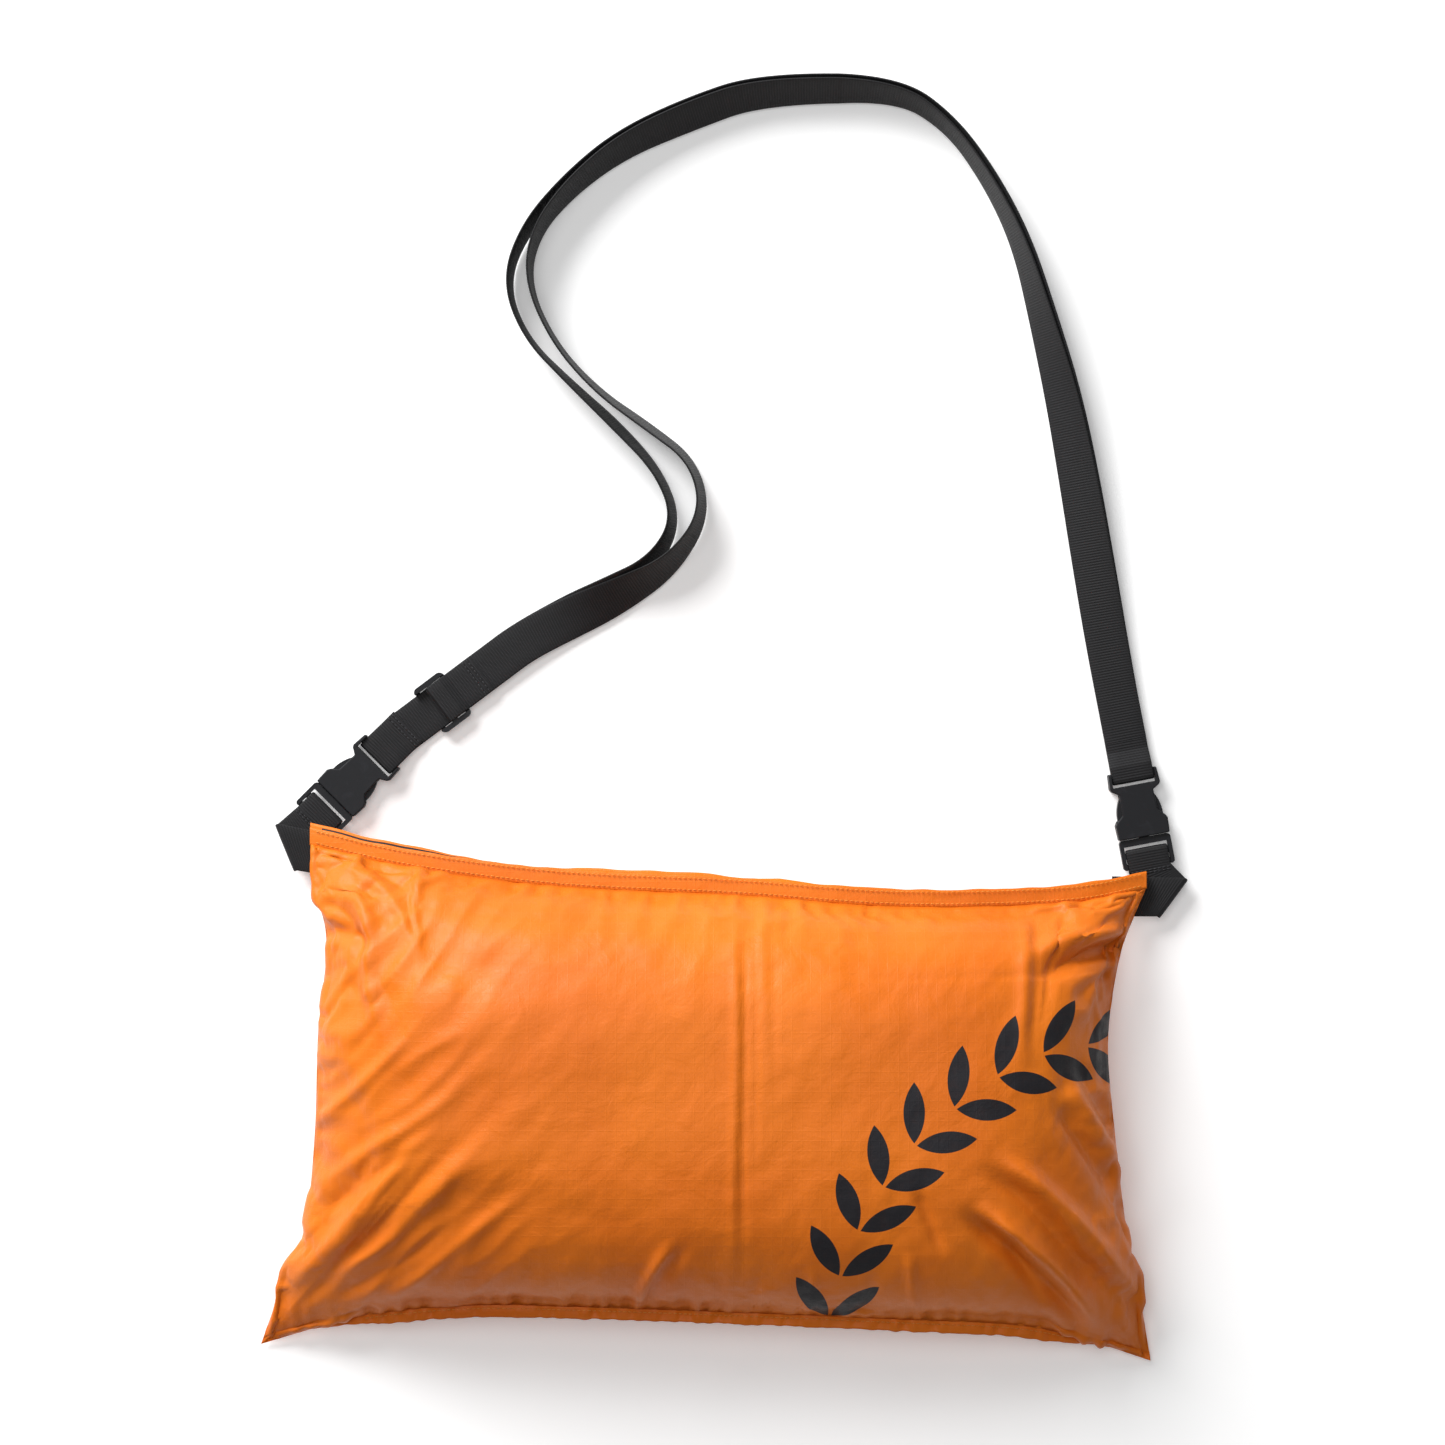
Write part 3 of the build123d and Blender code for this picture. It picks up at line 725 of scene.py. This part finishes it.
BOTTOM_GATHERS = {"reach": 14, "pitch": 11, "size": 1.5, "seed": 2.2}
MOUTH_GATHERS = {"reach": 12, "pitch": 16, "size": 0.7, "seed": 6.1}
CRUMPLE_REACH, SEWN_FLAT = 18, 4     # distances from a seam: of its finer wrinkles, and where all fade


def dressed(grid, is_front):
    """The grid with its folds, wrinkles and gathers; the seams themselves stay put."""
    grid = finer(grid)
    bottom, mouth, side = from_edge(grid)
    nearest = np.minimum(np.minimum(bottom, mouth), side)
    height = crumple(grid, np.exp(-nearest / CRUMPLE_REACH))
    height += gathers(grid, bottom, **BOTTOM_GATHERS) + gathers(grid, mouth, **MOUTH_GATHERS)
    if is_front:
        height += folds(grid)
    height *= np.clip(nearest / SEWN_FLAT, 0, 1)
    out = normals(grid)
    if not is_front:
        height *= np.clip((grid[..., 2] - 2) / 12, 0, 1)
        out = -out
    grid = grid + out * height[..., None]
    grid[..., 2] = np.maximum(grid[..., 2], 0.6)
    return grid


front_fine, back_fine = dressed(front, True), dressed(back, False)
back_fine[1:-1, 1:-1, 2] = np.minimum(back_fine[1:-1, 1:-1, 2], front_fine[1:-1, 1:-1, 2] - 1.0)
back_fine[..., 2] = np.maximum(back_fine[..., 2], 0.4)


def sheet_mesh(name, grid, material, flip=False):
    """Single layer of fabric over a grid; flip turns its outside down."""
    rows, columns = grid.shape[:2]
    number = np.arange(rows * columns).reshape(rows, columns)
    faces = []
    for i in range(rows - 1):
        for j in range(columns - 1):
            quad = [number[i, j], number[i, j + 1], number[i + 1, j + 1], number[i + 1, j]]
            faces.append(tuple(int(k) for k in (reversed(quad) if flip else quad)))
    return add_mesh(name, grid.reshape(-1, 3) * MM, faces, material)


def thickened(piece, thick):
    """A single layer made as thick as its fabric."""
    solid = piece.modifiers.new("thickness", "SOLIDIFY")
    solid.thickness = thick * MM
    return piece


def edge_strip(name, line, span, offsets, lift, thick, material, way=(0, 1), wave=(0.25, 14), extra=None):
    """Strip of folded fabric beside a seam line, from offsets[0] to offsets[1] outside it, rippled
    by wave's size and pitch; extra is (share of the line, reach) pairs that it stands further out."""
    t = np.linspace(*span, 700)
    further = np.interp(t, *zip(*extra)) if extra else 0.0
    edge = through(line, t)
    size, pitch = wave
    ripple = np.array([noise.noise((x / pitch, y / pitch, 3.3)) for x, y, _ in edge])
    rows = []
    for k in np.linspace(0, 1, 9):
        row = edge.copy()
        out = offsets[0] + (offsets[1] - offsets[0] + further) * k + 0.9 * ripple * k
        row[:, 0] += way[0] * out
        row[:, 1] += way[1] * out
        row[:, 2] += lift + size * 2 * ripple * math.sin(math.pi * k) - 0.5 * k * k
        rows.append(row)
    grid = np.array(rows)
    if way[1] < 0 or way[0] > 0:
        grid = grid[::-1]
    return thickened(sheet_mesh(name, grid, material), thick)


def mounted(piece, body, slot, *nodes):
    """Makes a piece ride a body and stand for its CAD nodes; slot is not used."""
    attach(piece, body)
    if nodes:
        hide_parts(*nodes)
    return piece


front_sheet = thickened(sheet_mesh("front_panel_fabric", front_fine, NYLON_FRONT), FABRIC)
back_sheet = thickened(sheet_mesh("back_panel_fabric", back_fine, NYLON, flip=True), FABRIC)
for sheet, node in ((front_sheet, "front_panel"), (back_sheet, "back_panel")):
    mounted(sheet, "sack", "ripstop_nylon", node)

# The back hem and the stiffener show where the mouth gapes
BACK_HEM_GAPES = [
    (0.02, 3.2), (0.14, 2.8), (0.22, 0.4), (0.28, 0), (0.34, 2.2), (0.48, 1.8), (0.53, 0.2),
    (0.56, 1.6), (0.62, 0),
]
STIFFENER_GAPES = [(0.02, 2.1), (0.12, 2.3), (0.2, 1.2), (0.25, 0)]
BOTTOM_HEM_TAPERS = [(0.06, -7), (0.15, 0), (0.87, 0), (0.95, -7)]
front_hem = edge_strip("mouth_hem_front_fabric", TOP_EDGE, (0, 1), (-1.0, 9.6), 0.9, 0.7, NYLON_HEM_PAINTED_LIGHTER)
back_hem = edge_strip("mouth_hem_back_fabric", TOP_EDGE, (0, 1), (-1.0, 9.0), -1.5, 0.7, NYLON_HEM_INSIDE_PAINTED_LIGHTER,
                      extra=BACK_HEM_GAPES)
stiffener = edge_strip("mouth_stiffener_tape", TOP_EDGE, (0.015, 0.985), (2.0, 8.4), -0.4, 0.6,
                       STIFFENER, extra=STIFFENER_GAPES)
bottom_hem = edge_strip("bottom_hem_fabric", BOTTOM_EDGE, (0.06, 0.95), (-1.0, 7.0), 0.0, 0.9,
                        NYLON_HEM_PAINTED_LIGHTER, way=(0, -1), wave=(1.0, 5), extra=BOTTOM_HEM_TAPERS)
mounted(front_hem, "sack", "ripstop_nylon", "mouth_hem_front")
mounted(back_hem, "sack", "ripstop_nylon", "mouth_hem_back")
mounted(stiffener, "sack", "stiffener", "mouth_stiffener")
mounted(bottom_hem, "sack", "ripstop_nylon", "bottom_hem")
for side, line, way in (("left", LEFT_EDGE, 1), ("right", RIGHT_EDGE, -1)):
    tape = edge_strip(f"side_seam_{side}_tape", line, (0.22, 0.82), (2.5, 8.5), -0.2, 0.5, NYLON_HEM_PAINTED_LIGHTER,
                      way=(way, 0))
    mounted(tape, "sack", "seam_tape", f"side_seam_{side}")


def packed_load():
    """The load inside: a soft, lumpy block that keeps clear of both panels."""
    middle = np.array([0, -6, 0])
    layers = []
    for grid, is_front in ((front, True), (back, False)):
        inner = middle + (grid[::2, ::2] - middle) * (0.87, 0.80, 1)
        lumps = 2.5 * noise_over(inner, 30, 40, 30, 7.7)
        inner[..., 2] = inner[..., 2] * 0.86 - 3 + lumps if is_front else inner[..., 2] * 0.9 + 4
        layers.append(inner)
    layers[0][..., 2] = np.maximum(layers[0][..., 2], layers[1][..., 2] + 0.5)
    rows, columns = layers[0].shape[:2]
    rim = [(0, j) for j in range(columns)] + [(i, columns - 1) for i in range(1, rows)]
    rim += [(rows - 1, j) for j in range(columns - 2, -1, -1)] + [(i, 0) for i in range(rows - 2, 0, -1)]
    number = np.arange(rows * columns).reshape(rows, columns)
    below = number + rows * columns
    faces = both_sides(number, below)
    for a, b in zip(rim, rim[1:] + rim[:1]):
        faces.append((number[b], number[a], below[a], below[b]))
    points = np.vstack([layer.reshape(-1, 3) for layer in layers]) * MM
    return add_mesh("packed_load", points, whole(faces), FILL)


load = mounted(packed_load(), "sack", "packed_fill", "packed_contents")

# ---------------------------------------------------------------- strap

def strap_piece(name, node, strand):
    """Piece of strap along a strand, standing for its CAD node, if any, which it hides."""
    places, rolls = strand
    piece = webbing(name, places, rolls=rolls)
    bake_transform(piece)
    if node:
        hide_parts(node)


# Where the inner strand is cut into two pieces, in metres
START_LENGTH = 0.165         # length of the inner strand's first stretch, made as a piece of its own

strap_piece("strap_outer_left", "strap_lower_left", strand_path(OUTER_LEFT, 0.0, first=LOWER_WEB))
strap_piece("strap_outer_right", "strap_lower_right", strand_path(OUTER_RIGHT, 0.0, last=LOWER_WEB))
places, rolls = strand_path(INNER_LEFT, INNER_LIFT, first=UPPER_WEB)
cut = int(np.searchsorted(arc_lengths(places), START_LENGTH))
strap_piece("strap_inner_start", None, (places[:cut + 1], rolls[:cut + 1]))
strap_piece("strap_inner_left", "strap_upper_left", (places[cut:], rolls[cut:]))
strap_piece("strap_inner_right", "strap_upper_right", strand_path(INNER_RIGHT, INNER_LIFT, last=UPPER_WEB))

# ---------------------------------------------------------------- sewn webbing on the buckles

def rounded(points, radius, steps=7):
    """Line of points with its corners rounded."""
    p = [np.array(q, float) for q in points]
    line = [p[0]]
    for a, b, c in zip(p, p[1:], p[2:]):
        back_way, on_way = unit(a - b), unit(c - b)
        half_turn = (math.pi - math.acos(np.clip(back_way @ on_way, -1, 1))) / 2
        reach = min(radius * math.tan(half_turn), 0.49 * min(np.linalg.norm(a - b), np.linalg.norm(c - b)))
        start, end = b + back_way * reach, b + on_way * reach
        for t in np.linspace(0, 1, steps):
            line.append((1 - t) ** 2 * start + 2 * t * (1 - t) * b + t * t * end)
    line.append(p[-1])
    return np.array(line)


def side_view(buckle, points, radius=1.6):
    """Webbing's middle line and sides from its side view in a buckle's own frame."""
    line = rounded(points, radius)
    middle = np.array([in_buckle(buckle, x, 0, z) for x, z in line])
    return middle, np.tile(across_buckle(buckle), (len(middle), 1))


def sewn(name, middle, sides, body, node):
    """Piece of webbing that is sewn to itself round a bar."""
    mounted(webbing(name, middle, sides=sides), body, "webbing", node)


ANCHOR_REACH = 16.0          # the anchor runs on past the middle of the tri-glide by this much
ANCHOR_STRAIGHT = 47.0       # its last straight stretch, before the bend towards the buckle
ANCHOR_RADIUS = 60.0


def anchor():
    """The strap's first end: a sewn tail, a turn round the left socket's bar, and on to the tri-glide."""
    turn = [(78, UPPER_WEB), (68, UPPER_WEB), (60, OVER_BAR), (SOCKET_TURN, OVER_BAR),
            (SOCKET_TURN, LOWER_WEB), (61, LOWER_WEB)]
    middle, sides = side_view(LEFT_BUCKLE, turn)
    glide_way = np.array([*GLIDE_WAY, 0])
    end = np.array([*GLIDE[0], LOWER_WEB]) + glide_way * ANCHOR_REACH
    bend = end - glide_way * ANCHOR_STRAIGHT
    run = rounded([middle[-1] / MM, bend, end], ANCHOR_RADIUS, 16)[1:] * MM
    run_sides = unit(np.cross([0, 0, 1], np.gradient(run, axis=0)))
    return np.vstack([middle, run]), np.vstack([sides, run_sides])


TAB_TURN, TAB_BACK, TAB_END = 9.4, -2.0, -14.0   # along the buckle: round the bar, back and under end
FOLD_RADIUS = 1.4


def tab(buckle, fold, sewn_end):
    """Corner tab: under the plug's bars, round, back over them, folded over and under the mouth hem."""
    round_bar = [(TAB_END, LOWER_WEB), (TAB_TURN, LOWER_WEB), (TAB_TURN, OVER_BAR), (TAB_BACK, OVER_BAR)]
    middle, sides = side_view(buckle, round_bar)
    half = WEB_WIDTH / 2
    corners = [in_buckle(buckle, TAB_BACK, y, 0)[:2] / MM for y in (half, -half)]
    if math.dist(corners[0], fold[0]) > math.dist(corners[1], fold[0]):
        fold, sewn_end = fold[::-1], sewn_end[::-1]
    (a0, b0), (a1, b1), (a2, b2) = corners, fold, sewn_end
    a0, b0, a1, b1, a2, b2 = (np.array([*p[:2], 0.0]) for p in (a0, b0, a1, b1, a2, b2))
    out = unit(np.cross(b1 - a1, [0, 0, 1]))
    if out @ (a2 - a1) > 0:
        out = -out
    edges = [(a0, b0, OVER_BAR)]
    edges += [(a0 + (a1 - a0) * t, b0 + (b1 - b0) * t, OVER_BAR) for t in (0.33, 0.66, 1)]
    for angle in np.linspace(0, math.pi, 9)[1:-1]:
        step = out * FOLD_RADIUS * math.sin(angle)
        edges.append((a1 + step, b1 + step, OVER_BAR + FOLD_RADIUS * (1 - math.cos(angle))))
    above = OVER_BAR + 2 * FOLD_RADIUS
    edges += [(a1 + (a2 - a1) * t, b1 + (b2 - b1) * t, above) for t in (0, 0.25, 0.5, 0.75, 1)]
    lines = np.array([(a + b) / 2 + (0, 0, z) for a, b, z in edges]) * MM
    widths = np.array([(a - b) / WEB_WIDTH for a, b, _ in edges])
    return np.vstack([middle[:-1], lines]), np.vstack([sides[:-1], widths])


# Each tab's folded edge and its sewn end, as two corners each
LEFT_TAB = (((-261.0, 162.5), (-249.5, 134.5)), ((-222.0, 155.0), (-222.0, 130.0)))
RIGHT_TAB = (((282.0, 130.0), (265.0, 107.0)), ((238.0, 131.0), (238.0, 107.0)))
sewn("tab_left_webbing", *tab(LEFT_BUCKLE, *LEFT_TAB), "sack", "tab_left")
sewn("tab_right_webbing", *tab(RIGHT_BUCKLE, *RIGHT_TAB), "sack", "tab_right")
sewn("strap_anchor_webbing", *anchor(), "left_strap_end", "strap_anchor")
turn = [(75, LOWER_WEB), (SOCKET_TURN, LOWER_WEB), (SOCKET_TURN, OVER_BAR), (60, OVER_BAR),
        (69, UPPER_WEB), (75, UPPER_WEB)]
sewn("strap_turn_webbing", *side_view(RIGHT_BUCKLE, turn), "right_strap_end", "strap_turn")
loop = [(30, TAIL_WEB), (12, TAIL_WEB), (6, 8.2), (-2.9, 8.2), (-2.9, UPPER_WEB), (16, UPPER_WEB)]
sewn("end_loop_webbing", *side_view(GLIDE, loop, 1.4), "tri_glide", "strap_end_loop")


THREAD_THICK, STITCH_HALF, STITCH_ARCH = 0.5, 1.15, 0.22
STITCH_RINGS, STITCH_SIDES = 7, 6
CROSS_PITCH, SEAM_PITCH = 2.7, 3.0
ON_WEB = 0.75                # thread's middle over the middle of the webbing under it


def stitch_row(places, ups, along):
    """Vertices and faces of a row of rounded stitches, each sunk at both ends."""
    vertices, faces = [], []
    for place, up, way in zip(places, ups, along):
        side = np.cross(up, way)
        base = len(vertices)
        for t in np.linspace(-1, 1, STITCH_RINGS):
            r = THREAD_THICK / 2 * math.sqrt(max(0.08, 1 - t**4)) * MM
            middle = place + way * t * STITCH_HALF * MM + up * STITCH_ARCH * (1 - t * t) * MM
            for k in range(STITCH_SIDES):
                a = 2 * math.pi * k / STITCH_SIDES
                vertices.append(middle + up * r * math.sin(a) + side * r * math.cos(a))
        for i in range(STITCH_RINGS - 1):
            for k in range(STITCH_SIDES):
                a, b = (base + STITCH_SIDES * i + n % STITCH_SIDES for n in (k, k + 1))
                faces.append((a, b, b + STITCH_SIDES, a + STITCH_SIDES))
        last = base + STITCH_SIDES * (STITCH_RINGS - 1)
        faces.append(tuple(base + k for k in reversed(range(STITCH_SIDES))))
        faces.append(tuple(last + k for k in range(STITCH_SIDES)))
    return vertices, faces


def stitching(name, rows, material, body, *nodes):
    """One piece of thread made of several rows of (places, ups, ways)."""
    vertices, faces = [], []
    for row in rows:
        more, its_faces = stitch_row(*row)
        faces += [tuple(k + len(vertices) for k in f) for f in its_faces]
        vertices += more
    mounted(add_mesh(name, vertices, faces, material), body, "thread", *nodes)


def crosswise(buckle, x, z, half=10.8):
    """A row of stitches straight across webbing, in a buckle's own frame."""
    spots = np.arange(-half, half + 0.1, CROSS_PITCH)
    places = [in_buckle(buckle, x, y, z) for y in spots]
    return places, [np.array([0, 0, 1.0])] * len(spots), [across_buckle(buckle)] * len(spots)


for name, holder, marks, height, body in (
    ("tab_stitching_left", LEFT_BUCKLE, (-5, -3.5), OVER_BAR, "sack"),
    ("tab_stitching_right", RIGHT_BUCKLE, (-5, -3.5), OVER_BAR, "sack"),
    ("anchor_stitching", LEFT_BUCKLE, (73, 76), UPPER_WEB, "left_strap_end"),
    ("end_loop_stitching", GLIDE, (24, 27), TAIL_WEB, "tri_glide"),
):
    rows = [crosswise(holder, x, height + ON_WEB) for x in marks]
    stitching(name + "_thread", rows, THREAD, body, name)


def seam_stitches(line, span, out, lift, way=1):
    """A row of stitches beside a seam line."""
    edge = through(line, np.linspace(*span, 900))
    edge[:, 1] += way * out
    edge[:, 2] += lift
    _, places = evenly(edge * MM, SEAM_PITCH * MM)
    ways = unit(np.gradient(places, axis=0))
    ups = unit(np.cross(ways, np.cross([0, 0, 1.0], ways)))
    return list(places), list(ups), list(ways)


mouth_rows = [seam_stitches(TOP_EDGE, (0.01, 0.99), out, 1.25) for out in (1.2, 8.0)]
bottom_rows = [seam_stitches(BOTTOM_EDGE, (0.13, 0.89), 1.6, 0.8, -1)]
stitching("mouth_hem_thread", mouth_rows, ORANGE_THREAD, "sack")
stitching("bottom_hem_thread", bottom_rows, ORANGE_THREAD, "sack")

# ---------------------------------------------------------------- hardware

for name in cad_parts:
    if name.startswith(("buckle", "prong", "tri_glide")):
        for holder in bpy.data.objects[name].material_slots:
            holder.material = PLASTIC

# ---------------------------------------------------------------- floor, light and camera

def studio():
    """Pale floor, two soft lamps and a faint even light."""
    half, depth = 9.0, -0.0005
    floor_material, _, shader = start_material("pale_floor")
    shader.inputs["Base Color"].default_value = (0.9, 0.9, 0.9, 1)
    shader.inputs["Roughness"].default_value = 0.9
    shader.inputs["Emission Color"].default_value = (1, 1, 1, 1)
    shader.inputs["Emission Strength"].default_value = 0.2
    corners = [(-half, -half, depth), (half, -half, depth), (half, half, depth), (-half, half, depth)]
    add_mesh("studio_floor", corners, [(0, 1, 2, 3)], floor_material)
    aim_at = Vector((0.0, 0.1, 0.0))
    for name, place, width, power in (
        ("key", (-2.1, 3.1, 1.95), 2.2, 280.0),
        ("top", (-0.4, 0.7, 2.9), 1.8, 32.0),
    ):
        lamp = bpy.data.lights.new(name, "AREA")
        lamp.size = width
        lamp.energy = power
        holder = bpy.data.objects.new(name, lamp)
        holder.location = place
        holder.rotation_euler = (aim_at - Vector(place)).to_track_quat("-Z", "Y").to_euler()
        bpy.context.collection.objects.link(holder)
    world = bpy.data.worlds.new("studio")
    world.use_nodes = True
    background = world.node_tree.nodes["Background"]
    background.inputs["Color"].default_value = (1, 1, 1, 1)
    background.inputs["Strength"].default_value = 0.15
    bpy.context.scene.world = world
    bpy.context.scene.view_settings.view_transform = "Standard"


def camera():
    """Camera straight above; field is the width that it sees at its distance."""
    data = bpy.data.cameras.new("camera")
    distance, field, sensor = 2.0, 0.860, 36.0
    data.sensor_width = sensor
    data.lens = sensor * distance / field
    eye = bpy.data.objects.new("camera", data)
    eye.location = (0.005, 0.223, distance + 0.02)
    bpy.context.collection.objects.link(eye)
    bpy.context.scene.camera = eye


studio()
camera()
